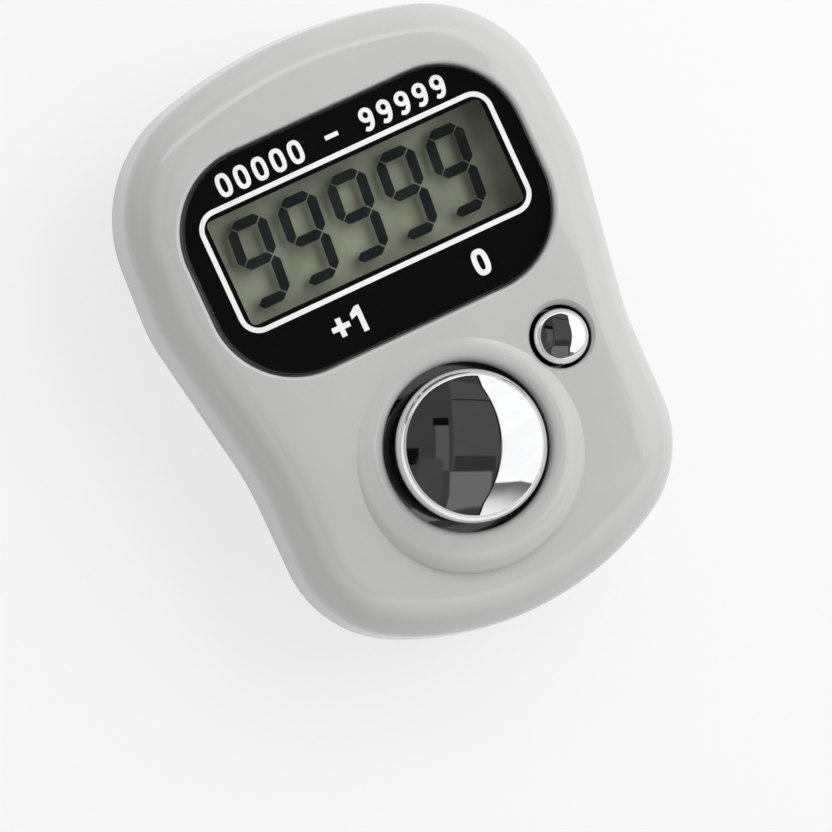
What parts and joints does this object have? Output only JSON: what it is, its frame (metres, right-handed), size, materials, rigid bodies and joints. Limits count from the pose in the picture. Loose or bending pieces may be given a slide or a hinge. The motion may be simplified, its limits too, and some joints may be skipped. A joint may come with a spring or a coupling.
{
  "type": "finger tally counter",
  "caption": "Pear-shaped finger tally counter: a digital display under a printed lens, a domed count button in a raised collar, a small reset button and a twist-off battery door.",
  "frame": {"origin": "middle of the flat back, where the counter lies on a table", "axes": "+X across the display to the reader's right, +Y from the buttons to the display, +Z out of the front face"},
  "size_m": [0.0304, 0.04, 0.0143],
  "materials": {
    "case_plastic": "glossy",
    "door_plastic": "satin",
    "lens_acrylic": "clear",
    "lens_ink": "glossy",
    "white_ink": "matte",
    "tape": "matte",
    "polariser": "clear",
    "display_glass": "clear",
    "seal_resin": "matte",
    "segments": "matte",
    "reflector_film": "satin",
    "holder_plastic": "matte",
    "elastomer": "matte",
    "board_laminate": "satin",
    "pad_metal": "polished",
    "blob_resin": "glossy",
    "resistor_body": "matte",
    "capacitor_body": "matte",
    "button_plating": "polished",
    "silicone": "matte",
    "carbon": "matte",
    "cell_steel": "brushed",
    "contact_steel": "plated",
    "screw_steel": "plated"
  },
  "bodies": {
    "case": {"front_shell": "case_plastic", "rear_shell": "case_plastic", "display_lens": "lens_acrylic", "lens_print": "lens_ink", "white_line": "white_ink", "lens_tape": "tape", "front_polariser": "polariser", "front_glass": "display_glass", "display_seal": "seal_resin", "digits": "segments", "rear_glass": "display_glass", "reflector": "reflector_film", "display_holder": "holder_plastic", "connector_strip": "elastomer", "circuit_board": "board_laminate", "contact_pads": "pad_metal", "chip_blob": "blob_resin", "chip_resistor": "resistor_body", "chip_capacitor": "capacitor_body", "count_dome": "silicone", "reset_dome": "silicone", "button_cell": "cell_steel", "positive_contact": "contact_steel", "negative_contact": "contact_steel", "case_screws": "screw_steel"},
    "count_button": {"count_button": "button_plating", "count_contact": "carbon"},
    "reset_button": {"reset_button": "button_plating", "reset_contact": "carbon"},
    "battery_door": {"battery_door": "door_plastic"}
  },
  "joints": [
    {"name": "count_press", "type": "slide", "parent": "case", "child": "count_button", "axis": [0, 0, -1], "range_m": [0, 0.0008], "stiffness_N_per_m": 1200, "deforming": ["count_dome"]},
    {"name": "reset_press", "type": "slide", "parent": "case", "child": "reset_button", "axis": [0, 0, -1], "range_m": [0, 0.0006], "stiffness_N_per_m": 900, "deforming": ["reset_dome"]},
    {"name": "door_turn", "type": "hinge", "parent": "case", "child": "battery_door", "pos_m": [0, 0.0046, 0], "axis": [0, 0, -1], "range_deg": [0, 70]}
  ]
}
